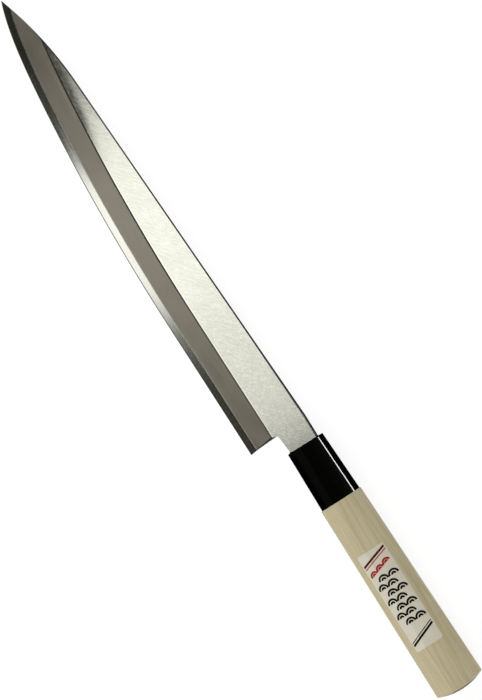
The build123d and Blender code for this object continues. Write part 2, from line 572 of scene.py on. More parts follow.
@dataclass(frozen=True)
class WoodFinish:
    """Pale close-grained wood, sanded and left bare, with its grain along the handle.

    The growth rings lie round the pith, drift along the handle and waver by a share of their
    width. Each shade of the grain is a share of late wood, of fibres and of streaks.
    """

    name: str = "bare_pale_wood"
    pale: Colour = tone(0.59, 0.53, 0.35)
    deep: Colour = tone(0.42, 0.345, 0.195)
    pore: Colour = tone(0.30, 0.25, 0.14)
    roughness: Pair = (0.52, 0.68)
    sheen: float = 0.3
    ring_width: float = 1.7 * MM
    ring_waver_share: float = 1.5
    ring_drift: float = 0.012
    pith: Point = (0.0, -0.047, 0.038)
    late_span: Pair = (0.5, 1.0)
    late_share: float = 0.2
    fibre_share: float = 0.5
    streak_share: float = 0.65
    depth_span: Pair = (0.4, 1.0)
    pore_span: Pair = (0.66, 0.78)
    pore_share: float = 0.55
    waver: Grain = Grain(60.0, stretch=0.12)
    fibres: Grain = Grain(1500.0, stretch=0.04, octaves=4, roughness=0.7)
    streaks: Grain = Grain(620.0, stretch=0.05, octaves=3, bend=0.3)
    pores: Grain = Grain(2600.0, stretch=0.07)
    relief: float = 0.03 * MM
    relief_strength: float = 0.6

    def late_wood(self, bench: Bench) -> Socket:
        """Lay the growth rings.

        Args:
            bench: the finish's bench.

        Returns:
            How much late wood there is, from 0 to 1.
        """
        centred = bench.lay("ShaderNodeMapping", {"Vector": bench.place(), "Location": self.pith})
        along, across, up = bench.parts(centred.outputs[0])
        drifted = bench.maths("ADD", across, bench.maths("MULTIPLY", along, self.ring_drift))
        squares = bench.maths("ADD", bench.maths("POWER", drifted, 2.0), bench.maths("POWER", up, 2.0))
        waver = self.ring_waver_share * self.ring_width
        wavy = bench.maths("MULTIPLY_ADD", bench.noise(self.waver), waver, bench.maths("SQRT", squares))
        ring = bench.maths("FRACT", bench.maths("DIVIDE", wavy, self.ring_width))
        return bench.spread(ring, self.late_span)

    def make(self) -> bpy.types.Material:
        """Build the material from growth rings, fibres, streaks and pores.

        Returns:
            The new material.
        """
        bench = Bench(self.name)
        fibre = bench.noise(self.fibres)
        shade = bench.maths("MULTIPLY", fibre, self.fibre_share)
        shade = bench.maths("MULTIPLY_ADD", self.late_wood(bench), self.late_share, shade)
        shade = bench.maths("MULTIPLY_ADD", bench.noise(self.streaks), self.streak_share, shade)
        depth = bench.spread(shade, self.depth_span)
        holes = bench.spread(bench.noise(self.pores), self.pore_span, (0, self.pore_share))
        bench.set(
            Base_Color=bench.blend(holes, bench.blend(depth, self.pale, self.deep), self.pore),
            Roughness=bench.spread(depth, (0, 1), self.roughness),
            Specular_IOR_Level=self.sheen,
        )
        bench.bump(bench.maths("SUBTRACT", fibre, holes), self.relief, self.relief_strength)
        return bench.material


@dataclass(frozen=True)
class PaperFinish:
    """Smooth label paper, slightly cloudy."""

    name: str
    pale: Colour
    deep: Colour
    roughness: float = 0.5
    clouds: Grain = Grain(260.0, octaves=3)
    fibres: Grain = Grain(2400.0)
    fibre_share: float = 0.5
    shade_span: Pair = (0.4, 1.1)
    relief: float = 0.01 * MM
    relief_strength: float = 0.5

    def make(self) -> bpy.types.Material:
        """Build the material.

        Returns:
            The new material.
        """
        bench = Bench(self.name)
        fibre = bench.noise(self.fibres)
        shade = bench.maths("MULTIPLY_ADD", fibre, self.fibre_share, bench.noise(self.clouds))
        paper = bench.blend(bench.spread(shade, self.shade_span), self.pale, self.deep)
        bench.set(Base_Color=paper, Roughness=self.roughness)
        bench.bump(fibre, self.relief, self.relief_strength)
        return bench.material


@dataclass(frozen=True)
class InkFinish:
    """Printed ink, a little worn where the paper's fibres stand up."""

    name: str
    colour: Colour
    roughness: float = 0.55
    sheen: float = 0.06
    bare: Colour = tone(0.5, 0.46, 0.37)
    wear: Grain = Grain(1800.0, octaves=3)
    wear_span: Pair = (0.6, 0.85)
    wear_share: float = 0.07

    def make(self) -> bpy.types.Material:
        """Build the material.

        Returns:
            The new material.
        """
        bench = Bench(self.name)
        worn = bench.spread(bench.noise(self.wear), self.wear_span, (0, self.wear_share))
        ink = bench.blend(worn, self.colour, self.bare)
        bench.set(Base_Color=ink, Roughness=self.roughness, Specular_IOR_Level=self.sheen)
        return bench.material


class Ink(Enum):
    """Inks of the label's print."""

    BLACK = InkFinish("black_ink", tone(0.004, 0.004, 0.003))
    RED = InkFinish("red_ink", tone(0.34, 0.014, 0.016))
    DARK_RED = InkFinish("dark_red_ink", tone(0.07, 0.005, 0.005))


def steel_finishes(bevel_width: float, hard_band: float) -> dict[Row, SteelFinish]:
    """Choose the finishes of the blade's rows.

    Args:
        bevel_width: inset of the bevel's upper line from the cutting edge.
        hard_band: inset of the weld's line from it.

    Returns:
        The finish of each row.
    """
    # Painted shade: a dark line on the bevel just below the ridge, where its rounding would be in shade
    ridge_painted_shade = Line(
        inset=bevel_width - 0.38 * MM, half_width=0.6 * MM,
        colour=tone(0.05, 0.047, 0.04), roughness=0.35,
        strength=Run(start=30 * MM, end=110 * MM, near=0.45, far=1.0))
    # Painted highlight: a near-white, glossier line on the flat just above the ridge
    ridge_painted_highlight = Line(
        inset=bevel_width + 0.25 * MM, half_width=0.26 * MM,
        colour=tone(1.0, 1.0, 0.95), roughness=0.16,
        strength=Run(start=160 * MM, end=185 * MM, near=1.0, far=0.0))
    weld_light = Line(
        inset=hard_band - 0.15 * MM, half_width=0.3 * MM,
        colour=tone(0.5, 0.49, 0.44), roughness=0.48,
        strength=Run(start=150 * MM, end=190 * MM, near=1.0, far=0.35))
    edge_dark = Line(inset=0.0, half_width=0.55 * MM, colour=tone(0.16, 0.16, 0.15), roughness=0.3)
    wall = SteelFinish(
        "ground_wall", pale=tone(0.26, 0.26, 0.25), dark=tone(0.16, 0.16, 0.15), roughness=(0.3, 0.45))
    # Painted shade: the spine is near black and keeps no gloss where it turns away, as if in shade
    spine = SteelFinish(
        "ground_spine", pale=tone(0.08, 0.08, 0.077), dark=tone(0.05, 0.05, 0.048),
        roughness=(0.35, 0.45), grazing=0.0)
    # Painted shade: the eased corners, and the heel's first faces, are near black with no grazing gloss
    ease = SteelFinish(
        "eased_corner", pale=tone(0.025, 0.025, 0.024), dark=grey(0.015), roughness=(0.3, 0.4), grazing=0.0)
    flat = SteelFinish(
        "satin_flat", pale=tone(0.95, 0.95, 0.85), dark=tone(0.68, 0.685, 0.59), roughness=(0.14, 0.22),
        scratches=Grain(1300.0, stretch=0.17, octaves=3, roughness=0.6, bend=0.6),
        scratch_turn=radians(42), scratch_depth=0.011 * MM, mottle_share=0.66, lines=(ridge_painted_highlight,))
    # The bevel carries the ridge's painted shade, and its colour is darkened towards the tip as painted shade
    bevel = SteelFinish(
        "hazy_bevel", pale=tone(0.487, 0.45, 0.366), dark=tone(0.433, 0.402, 0.324), roughness=(0.31, 0.39),
        scratches=Grain(90.0, stretch=0.03, octaves=3, roughness=0.6), scratch_depth=0.004 * MM,
        source=Source.MAP, painted_tip_shade=Run(start=160 * MM, end=240 * MM, near=0.0, far=0.46),
        lines=(ridge_painted_shade,))
    # The band's colour is darkened towards the tip as painted shade, in place of its darker reflections there
    band = SteelFinish(
        "polished_band", pale=tone(0.92, 0.915, 0.83), dark=tone(0.8, 0.795, 0.71), roughness=(0.09, 0.15),
        scratches=Grain(60.0, stretch=0.02, octaves=3, roughness=0.6), scratch_depth=0.002 * MM,
        source=Source.MAP, painted_tip_shade=Run(start=215 * MM, end=240 * MM, near=0.0, far=0.45),
        lines=(weld_light, edge_dark))
    back = SteelFinish(
        "polished_back", pale=tone(0.8, 0.8, 0.78), dark=tone(0.7, 0.7, 0.68), roughness=(0.16, 0.26))
    return {Row.WALL: wall, Row.SPINE: spine, Row.EASE: ease, Row.FLAT: flat,
            Row.BEVEL: bevel, Row.BAND: band, Row.BACK: back}


# Handle's oval


@dataclass(frozen=True)
class RidgedOval:
    """Oval whose upper side has two flats that meet in a soft ridge.

    The shares are of the half axes; arc_steps, flat_steps and ridge_steps divide its outline.
    """

    height_share: float = 0.8
    ridge_side_share: float = 0.19
    ridge_rise_share: float = 0.1
    ridge_round: float = 0.8 * MM
    arc_steps: int = 110
    flat_steps: int = 8
    ridge_steps: int = 8

    def outline(self, half_width: float) -> list[Pair]:
        """Lay points round the oval.

        Args:
            half_width: half of the oval's width.

        Returns:
            Reach and height of each point, round the lower side and then over the ridge.
        """
        half_height = half_width * self.height_share
        top_share = sqrt(1 - self.ridge_side_share**2) + self.ridge_rise_share
        lean = atan2(top_share, self.ridge_side_share)
        opening = acos(1 / hypot(self.ridge_side_share, top_share))
        turns = steps(lean + opening, lean - opening + 2 * pi, self.arc_steps)
        low = [(half_width * cos(turn), half_height * sin(turn)) for turn in turns]
        first, last = Vector(low[0]), Vector(low[-1])
        ridge = Vector((self.ridge_side_share * half_width, top_share * half_height))
        before, after = (last - ridge).normalized(), (first - ridge).normalized()
        bend = rounded_corner(ridge, before, after, self.ridge_round, self.ridge_steps)
        rise = [last.lerp(bend[0], share) for share in steps(0, 1, self.flat_steps)[1:]]
        fall = [bend[-1].lerp(first, share) for share in steps(0, 1, self.flat_steps)[:-1]]
        return low + [(point.x, point.y) for point in rise + bend[1:-1] + fall]

    def top(self, half_width: float, reach: float) -> float:
        """Find the height of the oval's upper side.

        Args:
            half_width: half of the oval's width.
            reach: where across the oval.

        Returns:
            The height.
        """
        upper = sorted(point for point in self.outline(half_width) if point[1] > 0)
        for (left, low), (right, high) in zip(upper, upper[1:]):
            if left <= reach <= right:
                return between(low, high, (reach - left) / max(right - left, SPECK))
        raise ValueError(f"no oval at reach {reach}")


def boxed(outline: list[Pair], low: Pair, high: Pair) -> list[Pair]:
    """Project an outline's points from the centre of a box onto the box.

    Args:
        outline: reach and height of each point, all outside the box.
        low: the box's lowest reach and height.
        high: its highest reach and height.

    Returns:
        As many points on the box, with its four corners among them.
    """
    middle = Vector(((low[0] + high[0]) / 2, (low[1] + high[1]) / 2))
    half = Vector((high[0] - low[0], high[1] - low[1])) / 2
    points = []
    for point in outline:
        spoke = Vector(point) - middle
        spoke /= max(abs(spoke.x) / half.x, abs(spoke.y) / half.y)
        points.append(middle + spoke)
    for corner in ((low[0], low[1]), (high[0], low[1]), (high[0], high[1]), (low[0], high[1])):
        nearest = min(range(len(points)), key=lambda index: (points[index] - Vector(corner)).length)
        points[nearest] = Vector(corner)
    return [(point.x, point.y) for point in points]


# Blade


@dataclass
class Blade:
    """Blade of two welded steels: the soft body with its neck and tang, and the hard layer.

    Its edge falls to the tip as a square, but for point_share of the fall, which comes by
    point_power and so rounds the point. Rows divide a face across the blade, and columns along it.
    """

    place: Place
    length: float = 268.8 * MM
    edge_reach: float = 26.5 * MM
    tip_reach: float = 8.4 * MM
    heel_station: float = 9.7 * MM
    heel_ease: float = 0.4 * MM
    notch_station: float = 11.8 * MM
    notch_reach: float = 9.25 * MM
    notch_round: float = 2.65 * MM
    neck_edge_reach: float = 8.4 * MM
    neck_spine_reach: float = 7.5 * MM
    neck_depth: float = 3.0 * MM
    spine_heel_station: float = 12.0 * MM
    spine_heel_reach: float = 7.7 * MM
    swoop_length: float = 53.8 * MM
    swoop_spine_reach: float = 1.3 * MM
    belly_length: float = 183.8 * MM
    point_power: int = 12
    point_share: float = 0.21
    neck_thickness: float = 3.8 * MM
    point_thickness: float = 1.9 * MM
    bevel_width: float = 14.6 * MM
    edge_land: float = 0.05 * MM
    micro_bevel: float = 0.4 * MM
    spine_ease: float = 0.26 * MM
    neck_ease: float = 0.65 * MM
    neck_ease_end: float = 60 * MM
    crown_start: float = 160 * MM
    crown_full: float = 215 * MM
    crown_width: float = 5.6 * MM
    crown_drop: float = 0.37 * MM
    rim_width: float = 1.6 * MM
    rim_share: float = 0.25
    hollow_radius: float = 300 * MM
    hollow_start: float = 13.1 * MM
    hollow_end_length: float = 12.0 * MM
    hollow_point_gap: float = 12.0 * MM
    hard_band: float = 4.15 * MM
    steel_end_station: float = 5.0 * MM
    tang_length: float = 98.0 * MM
    tang_root: Pair = (11.0 * MM, 3.4 * MM)
    tang_end: Pair = (5.0 * MM, 2.2 * MM)
    flat_rows: int = 8
    bevel_rows: int = 8
    band_rows: int = 5
    back_rows: int = 20
    arc_steps: int = 12
    neck_steps: int = 2
    columns: int = 150
    run_in: float = 16 * MM
    halvings: int = 40

    def edge(self, station: float) -> float:
        """Find the cutting edge, which is straight and then curves to the tip.

        Args:
            station: where along the blade.

        Returns:
            Its reach.
        """
        run = max(0.0, 1 - (self.length - station) / self.belly_length)
        fall = (1 - self.point_share) * run**2 + self.point_share * run**self.point_power
        return self.edge_reach - (self.edge_reach - self.tip_reach) * fall

    def spine(self, station: float) -> float:
        """Find the spine, which is straight and then swoops to the tip.

        Args:
            station: where along the blade.

        Returns:
            Its reach, which is negative but for the last stretch before the tip.
        """
        if station < self.spine_heel_station:
            share = max(0.0, station) / self.spine_heel_station
            return -between(self.neck_spine_reach, self.spine_heel_reach, share)
        swoop = self.length - self.swoop_length
        slope = (self.spine_heel_reach - self.swoop_spine_reach) / (swoop - self.spine_heel_station)
        line = slope * (station - swoop) - self.swoop_spine_reach
        line_at_tip = slope * self.swoop_length - self.swoop_spine_reach
        run = max(0.0, (station - swoop) / self.swoop_length)
        return line + (self.tip_reach - line_at_tip) * run**2

    def thickness(self, station: float) -> float:
        """Thickness from the back to the flat."""
        return between(self.neck_thickness, self.point_thickness, station / self.length)

    def bevel(self, station: float, reach: float) -> float:
        """Height of the bevel's plane over the back."""
        share = (self.edge(station) - reach) / self.bevel_width
        return between(self.edge_land, self.thickness(station), share)

    def weld(self, station: float) -> float:
        """Height of the weld between the two steels over the back."""
        return self.bevel(station, self.edge(station) - self.hard_band)

    def ease(self, station: float) -> float:
        """Size of the spine's eased corner, which is largest at the neck."""
        return between(self.neck_ease, self.spine_ease, held(station / self.neck_ease_end))

    def ease_end(self, station: float) -> Pair:
        """Find where the spine's eased corner meets the upper face.

        Args:
            station: where along the blade.

        Returns:
            Its reach, and its height over the back.
        """
        thick, spine, edge = self.thickness(station), self.spine(station), self.edge(station)
        ease = self.ease(station)
        if self.bevel(station, spine) <= thick - ease:
            return (spine, self.bevel(station, spine))
        if self.bevel(station, spine + ease) >= thick:
            return (spine + ease, thick)
        slope = (thick - self.edge_land) / self.bevel_width
        reach = (self.edge_land + slope * edge - thick + ease + spine) / (1 + slope)
        return (reach, self.bevel(station, reach))

    def upper(self, station: float, reach: float) -> float:
        """Find the height of the upper face over the back, with the flat crowned near the point.

        Args:
            station: where along the blade.
            reach: where across it.

        Returns:
            The height of the flat or of the bevel, the lower of the two.
        """
        run = held((station - self.crown_start) / (self.crown_full - self.crown_start))
        inset = self.edge(station) - self.bevel_width - reach
        near = held(1 - inset / self.crown_width)
        flat = self.thickness(station) - self.crown_drop * smooth(run) * near**2
        return min(flat, self.bevel(station, reach))

    def notch_arc(self) -> list[Pair]:
        """Round the notch between the neck and the heel.

        Returns:
            Station and reach of each point, from the neck to the heel.
        """
        corner = Vector((self.notch_station, self.notch_reach))
        neck = (Vector((0, self.neck_edge_reach)) - corner).normalized()
        heel = (Vector((self.heel_station, self.edge_reach)) - corner).normalized()
        bend = rounded_corner(corner, neck, heel, self.notch_round, self.arc_steps)
        return [(point.x, point.y) for point in bend]

    def heel_line(self, reach: float) -> float:
        """Station of the heel's face at a reach."""
        station, start = self.notch_arc()[-1]
        return between(station, self.heel_station, (reach - start) / (self.edge_reach - start))

    def neck_columns(self) -> list[Pair]:
        """Divide the neck into columns, from the tang to the heel.

        Returns:
            Station and edge-side reach of each column.
        """
        bend = self.notch_arc()
        slope = (bend[0][1] - self.neck_edge_reach) / bend[0][0]
        straight = [(station, self.neck_edge_reach + slope * station)
                    for station in steps(0, self.steel_end_station, self.neck_steps)]
        return [(-self.neck_depth, self.neck_edge_reach), *straight, *bend]

    def steel_columns(self) -> list[Pair]:
        """Columns of the neck that the hard layer reaches under."""
        return [column for column in self.neck_columns() if column[0] >= self.steel_end_station]

    def heel_insets(self) -> Pair:
        """How far in from the heel's line its two rings lie."""
        return (0.0, self.heel_ease)

    def main_stations(self, end: float) -> list[float]:
        """Stations of the columns from past the heel to an end."""
        return steps_to_point(self.run_in, end, self.columns)

    def body_end(self) -> float:
        """Find where the hard layer has taken up the whole width, by halving the swoop.

        Returns:
            The station.
        """
        low, high = self.length - self.swoop_length, self.length
        for _ in range(self.halvings):
            middle = (low + high) / 2
            wide = self.edge(middle) - self.spine(middle) > self.hard_band
            low, high = (middle, high) if wide else (low, middle)
        return low

    def point(self, station: float, reach: float, over_back: float) -> Point:
        """Point of the frame at a station, a reach and a height over the back."""
        return self.place.at(station, reach, self.place.back + over_back)

    def side_station(self, station: float, reach: float, zone: Zone, inset: float) -> float:
        """Station of a point on a ring's edge side: at the heel it follows the heel's line."""
        return self.heel_line(reach) + inset if zone is Zone.HEEL else station

    def uv_of(self, spot: Vector) -> Pair:
        """Find a place on the finishes.

        Args:
            spot: a point of the blade.

        Returns:
            How far it lies along the blade, and in from the edge.
        """
        station = spot.x - self.place.mouth_x
        inset = self.edge(held(station, 0, self.length)) - (spot.y - self.place.axis_y)
        return (station * UV_SCALE, inset * UV_SCALE)

    def body_ring(self, station: float, side: float, low: float, zone: Zone, inset: float = 0.0) -> Ring:
        """Lay a ring across the soft body.

        Args:
            station: where the ring stands.
            side: reach of the flat's edge-side end.
            low: height of the body's underside over the back.
            zone: what its edge side follows.
            inset: how far in from the heel's line a heel ring lies.

        Returns:
            The ring, from the spine's lower corner up, over the flat and down the bevel.
        """
        spine = self.spine(station)
        ease_reach, ease_height = self.ease_end(station)
        eased = min(ease_height, self.thickness(station) - self.ease(station))
        ring = [self.point(station, spine, min(low, eased)), self.point(station, spine, eased)]
        side = max(side, ease_reach)
        for reach in steps(ease_reach, side, self.flat_rows):
            ring.append(self.point(station, reach, self.upper(station, reach)))
        weld_reach = max(self.edge(station) - self.hard_band, ease_reach)
        top = self.upper(station, side)
        for share in steps(0, 1, self.bevel_rows)[1:]:
            if zone is Zone.NECK:
                ring.append(self.point(station, side, between(top, low, share)))
                continue
            reach = between(side, weld_reach, share)
            where = self.side_station(station, reach, zone, inset)
            ring.append(self.point(where, reach, min(top, self.bevel(where, reach))))
        return ring

    def body_rings(self) -> list[Ring]:
        """Lay the soft body's rings, with two where the hard layer ends under it.

        Returns:
            The rings, from the tang's end to the point.
        """
        neck = self.neck_columns()
        rings = []
        for station, side in neck:
            if station == self.steel_end_station:
                rings.append(self.body_ring(station, side, 0.0, Zone.NECK))
            low = self.weld(station) if station >= self.steel_end_station else 0.0
            rings.append(self.body_ring(station, side, low, Zone.NECK))
        station, side = neck[-1]
        for inset in self.heel_insets():
            rings.append(self.body_ring(station + inset, side, self.weld(station), Zone.HEEL, inset))
        for station in self.main_stations(self.body_end()):
            side = self.edge(station) - self.bevel_width
            rings.append(self.body_ring(station, side, self.weld(station), Zone.MAIN))
        return self.tang_rings(rings[0]) + rings

    def tang_rings(self, neck: Ring) -> list[Ring]:
        """Draw the neck in to the tang's bar.

        Args:
            neck: the neck's first ring.

        Returns:
            The rings at the tang's end and at its root, with as many points.
        """
        rings = []
        for station, (wide, high) in ((-self.tang_length, self.tang_end), (-self.neck_depth, self.tang_root)):
            ring = []
            for _, y, z in neck:
                reach = held(y - self.place.axis_y, -wide / 2, wide / 2)
                height = held(z - self.place.axis_z, -high / 2, high / 2)
                ring.append(self.place.at(station, reach, height))
            rings.append(ring)
        return rings

    def hollow(self, station: float) -> Pair:
        """Measure the hollow in the back.

        Args:
            station: where along the blade.

        Returns:
            The reach of its middle, and its half width.
        """
        edge, spine = self.edge(station), self.spine(station)
        end = self.length - self.hollow_point_gap
        half = (edge - spine) / 2 - self.rim_width
        run = held((station - self.hollow_start) / self.hollow_end_length)
        out = held((end - station) / self.hollow_end_length)
        return ((edge + spine) / 2, half * sqrt(1 - (1 - run) ** 2) * sqrt(1 - (1 - out) ** 2))

    def hollow_back(self, station: float) -> Ring:
        """Lay points across the hollow back.

        Args:
            station: where along the blade.

        Returns:
            The points, from the spine to the edge.
        """
        edge, spine = self.edge(station), self.spine(station)
        middle, half = self.hollow(station)
        narrow = min(self.rim_width, (edge - spine) * self.rim_share)
        rim_low = middle - half if half > 0 else spine + narrow
        rim_high = middle + half if half > 0 else edge - narrow
        points = [self.point(station, spine, 0)]
        for reach in steps(rim_low, rim_high, self.back_rows - 2):
            depth = max(0.0, half**2 - (reach - middle) ** 2) / (2 * self.hollow_radius)
            points.append(self.point(station, reach, depth))
        return points + [self.point(station, edge, 0)]

    def flat_back(self, station: float, side: float, zone: Zone, inset: float) -> Ring:
        """Lay points across the flat back of the neck or of the heel.

        Args:
            station: where along the blade.
            side: reach of the neck's edge side, or of the heel's upper end.
            zone: what the edge side follows.
            inset: how far in from the heel's line a heel ring lies.

        Returns:
            The points, from the spine to the edge side, all at one spot past a neck's side.
        """
        edge, spine = self.edge(station), self.spine(station)
        shares = steps(0, 1, self.back_rows)
        split = round(self.back_rows * (side - spine) / (edge - spine))
        points = []
        for row, share in enumerate(shares):
            if row <= split:
                points.append(self.point(station, between(spine, side, share / shares[split]), 0))
            elif zone is Zone.NECK:
                points.append(self.point(station, side, 0))
            else:
                reach = between(side, edge, (share - shares[split]) / (1 - shares[split]))
                points.append(self.point(self.side_station(station, reach, zone, inset), reach, 0))
        return points

    def steel_ring(self, station: float, side: float, zone: Zone, inset: float = 0.0) -> Ring:
        """Lay a ring across the hard layer.

        Args:
            station: where the ring stands.
            side: reach of the neck's edge side, or of the heel's upper end.
            zone: what its edge side follows.
            inset: how far in from the heel's line a heel ring lies.

        Returns:
            The ring, from the weld at the spine down, across the back and up the bevel.
        """
        spine, edge = self.spine(station), self.edge(station)
        ring = [self.point(station, spine, min(self.weld(station), self.ease_end(station)[1]))]
        if zone is Zone.MAIN:
            ring += self.hollow_back(station)
        else:
            ring += self.flat_back(station, side, zone, inset)
        for depth in (0.0, *steps(self.micro_bevel, self.hard_band, self.band_rows)):
            reach = max(edge - depth, spine)
            height = self.bevel(station, reach)
            if zone is Zone.NECK:
                ring.append(self.point(station, side, height))
            else:
                ring.append(self.point(self.side_station(station, reach, zone, inset), reach, height))
        return ring

    def steel_rings(self) -> list[Ring]:
        """Lay the hard layer's rings.

        Returns:
            The rings, from under the neck to the tip.
        """
        neck = self.steel_columns()
        rings = [self.steel_ring(station, side, Zone.NECK) for station, side in neck]
        station, side = neck[-1]
        for inset in self.heel_insets():
            rings.append(self.steel_ring(station + inset, side, Zone.HEEL, inset))
        rings += [self.steel_ring(station, 0, Zone.MAIN) for station in self.main_stations(self.length)]
        return rings

    def neck_count(self, rings: list[Ring]) -> int:
        """How many of a piece's rings come before the heel's and the main blade's."""
        return len(rings) - len(self.heel_insets()) - len(self.main_stations(self.length))

    @staticmethod
    def row_at(row: Row, ring: int, neck_rings: int) -> int:
        """Choose the finish of the faces after a ring.

        Args:
            row: the row that they lie in along the main blade.
            ring: the ring's number.
            neck_rings: how many rings come before the heel.

        Returns:
            The finish's number: a ground row is wall at the neck, and takes the eased corner's
            painted shade where the heel starts.
        """
        if row not in (Row.BEVEL, Row.BAND) or ring > neck_rings:
            return row.value
        return Row.WALL.value if ring < neck_rings else Row.EASE.value

    def soft_body(self, materials: list[bpy.types.Material]) -> bpy.types.Object:
        """Make the soft body with its neck and tang.

        Args:
            materials: the finishes, in the order of the rows.

        Returns:
            The piece, on the frame.
        """
        rows = [Row.SPINE, Row.EASE, *[Row.FLAT] * self.flat_rows, *[Row.BEVEL] * self.bevel_rows, Row.WALL]
        borders = [rows.index(row) for row in Row if row in rows]
        rings = self.body_rings()
        neck_rings = self.neck_count(rings)
        piece = skin("blade_body_ground", rings, materials,
                     finish_at=lambda ring, row: self.row_at(rows[row], ring, neck_rings),
                     creases=borders, uv_of=self.uv_of)
        return mount(piece, "soft_iron", "blade_body")

    def hard_layer(self, materials: list[bpy.types.Material]) -> bpy.types.Object:
        """Make the hard layer with its hollow back and its polished band.

        Args:
            materials: the finishes, in the order of the rows.

        Returns:
            The piece, on the frame.
        """
        rings = self.steel_rings()
        neck_rings = self.neck_count(rings)
        edge, weld = 1 + self.back_rows, len(rings[0]) - 1
        rows = [Row.SPINE, *[Row.BACK] * self.back_rows, *[Row.BAND] * (weld - edge + 1)]
        rims, lands = (2, edge - 1), (edge + 1, edge + 2)
        piece = skin("hard_layer_ground", rings, materials,
                     finish_at=lambda ring, row: self.row_at(rows[row], ring, neck_rings),
                     creases=(0, 1, *rims, edge, *lands, weld), uv_of=self.uv_of)
        return mount(piece, "hard_steel", "cutting_steel")

    def build(self) -> list[bpy.types.Object]:
        """Make the two steels.

        Returns:
            The pieces.
        """
        finishes = steel_finishes(self.bevel_width, self.hard_band)
        materials = [finishes[row].make() for row in Row]
        return [self.soft_body(materials), self.hard_layer(materials)]


# Handle, ferrule, seal and label


@dataclass
class Handle:
    """Wooden handle, its ferrule, the seal in the ferrule's mouth and the label's paper.

    A half is half of the oval's width there. The pocket, the neck and the slot are boxes by their
    lowest and highest reach and height, or by their half width and half height.
    """

    place: Place
    oval: RidgedOval
    length: float = 145.6 * MM
    mouth_half: float = 10.3 * MM
    rear_half: float = 11.15 * MM
    wood_half: float = 11.7 * MM
    butt_half: float = 13.2 * MM
    ferrule_length: float = 33.0 * MM
    ferrule_round: float = 0.35 * MM
    pocket_depth: float = 3.0 * MM
    pocket_low: Pair = (-8.3 * MM, -2.7 * MM)
    pocket_high: Pair = (9.2 * MM, 2.7 * MM)
    neck_low: Pair = (-7.5 * MM, -1.9 * MM)
    neck_high: Pair = (8.4 * MM, 1.9 * MM)
    seal_proud: float = 0.12 * MM
    bead_rise: float = 0.5 * MM
    bead_radius: float = 1.4 * MM
    socket_radius: float = 7.54 * MM
    socket_gap: float = 0.5 * MM
    tenon_fit: float = 0.05 * MM
    tenon_length: float = 24.0 * MM
    tenon_ease: float = 0.8 * MM
    slot_length: float = 98.1 * MM
    slot_root: Pair = (5.6 * MM, 1.8 * MM)
    slot_end: Pair = (2.6 * MM, 1.2 * MM)
    wood_ease: float = 0.25 * MM
    wood_crease: float = radians(35)
    dome_depth: float = 3.0 * MM
    butt_rim: float = 1.5 * MM
    butt_round: float = 0.9 * MM
    label_length: float = 56.0 * MM
    label_width: float = 15.7 * MM
    label_corner: float = 1.25 * MM
    label_butt_gap: float = 27.7 * MM
    label_side_reach: float = 0.2 * MM
    paper: float = 0.11 * MM
    dome_rings: int = 14
    end_grain_and_shade_rings: int = 12
    round_rings: int = 5
    length_rings: int = 24
    paper_columns: int = 56
    paper_rows: int = 60
    ferrule_finish: GlossFinish = GlossFinish(
        "polished_black", colour=tone(0.0008, 0.0008, 0.0009), roughness=(0.05, 0.09))
    seal_finish: GlossFinish = GlossFinish("black_resin", colour=grey(0.004), roughness=(0.12, 0.25))
    wood_finish: WoodFinish = WoodFinish()
    # End grain with painted shade: the butt's dome is far darker than end grain alone, shade painted into its
    # colour
    end_grain_and_shade: WoodFinish = WoodFinish(
        "end_grain_wood", pale=tone(0.16, 0.13, 0.077), deep=tone(0.1, 0.081, 0.046))
    paper_finish: PaperFinish = PaperFinish(
        "label_stock", pale=tone(0.685, 0.645, 0.54), deep=tone(0.63, 0.59, 0.49))

    def ring(self, station: float, points: list[Pair]) -> Ring:
        """Ring of points at a station."""
        return [self.place.at(station, reach, height) for reach, height in points]

    def on_spoke(self, station: float, spoke: Vector, out: float) -> Point:
        """Point at a station, out from the centre line along a spoke."""
        return self.place.at(station, *(spoke.normalized() * out))

    def circle(self, radius: float) -> list[Pair]:
        """As many points round a circle as the oval has, in the same directions."""
        outline = self.oval.outline(self.wood_half)
        return [tuple(Vector(point).normalized() * radius) for point in outline]

    def slot_at(self, station: float) -> list[Pair]:
        """Lay the outline of the tang's slot, with as many points as the oval has.

        Args:
            station: where along the handle.

        Returns:
            Reach and height of each point.
        """
        share = (-station - self.pocket_depth) / (self.slot_length - self.pocket_depth)
        wide = between(self.slot_root[0], self.slot_end[0], share)
        high = between(self.slot_root[1], self.slot_end[1], share)
        return boxed(self.oval.outline(self.wood_half), (-wide, -high), (wide, high))

    def shoulder(self) -> float:
        """Station where the butt's rounding starts."""
        return self.dome_depth + self.butt_rim - self.length

    def half_at(self, station: float) -> float:
        """Half width of the wood at a station."""
        share = (station + self.ferrule_length) / (self.shoulder() + self.ferrule_length)
        return between(self.wood_half, self.butt_half, held(share))

    def ferrule(self) -> bpy.types.Object:
        """Make the ferrule: a flared cap with a mouth, a slot and a socket.

        Returns:
            The piece, on the frame.
        """
        oval, end = self.oval, -self.ferrule_length
        pocket = boxed(oval.outline(self.mouth_half), self.pocket_low, self.pocket_high)
        socket_end = end + self.tenon_length + self.socket_gap
        rings = [self.ring(-self.pocket_depth, pocket), self.ring(0, pocket)]
        for turn in steps(0, pi / 2, self.round_rings):
            inset = self.ferrule_round * (1 - sin(turn))
            back = self.ferrule_round * (1 - cos(turn))
            rings.append(self.ring(-back, oval.outline(self.mouth_half - inset)))
        for station in steps(-2 * self.ferrule_round, end, self.length_rings):
            half = between(self.mouth_half, self.rear_half, station / end)
            rings.append(self.ring(station, oval.outline(half)))
        rings.append(self.ring(end, self.circle(self.socket_radius)))
        rings.append(self.ring(socket_end, self.circle(self.socket_radius)))
        rings.append(self.ring(socket_end, self.slot_at(socket_end)))
        rings.append(self.ring(-self.pocket_depth, self.slot_at(-self.pocket_depth)))
        piece = skin("ferrule_polished", rings, [self.ferrule_finish.make()], joined=True)
        return mount(piece, "ferrule_black", "ferrule")

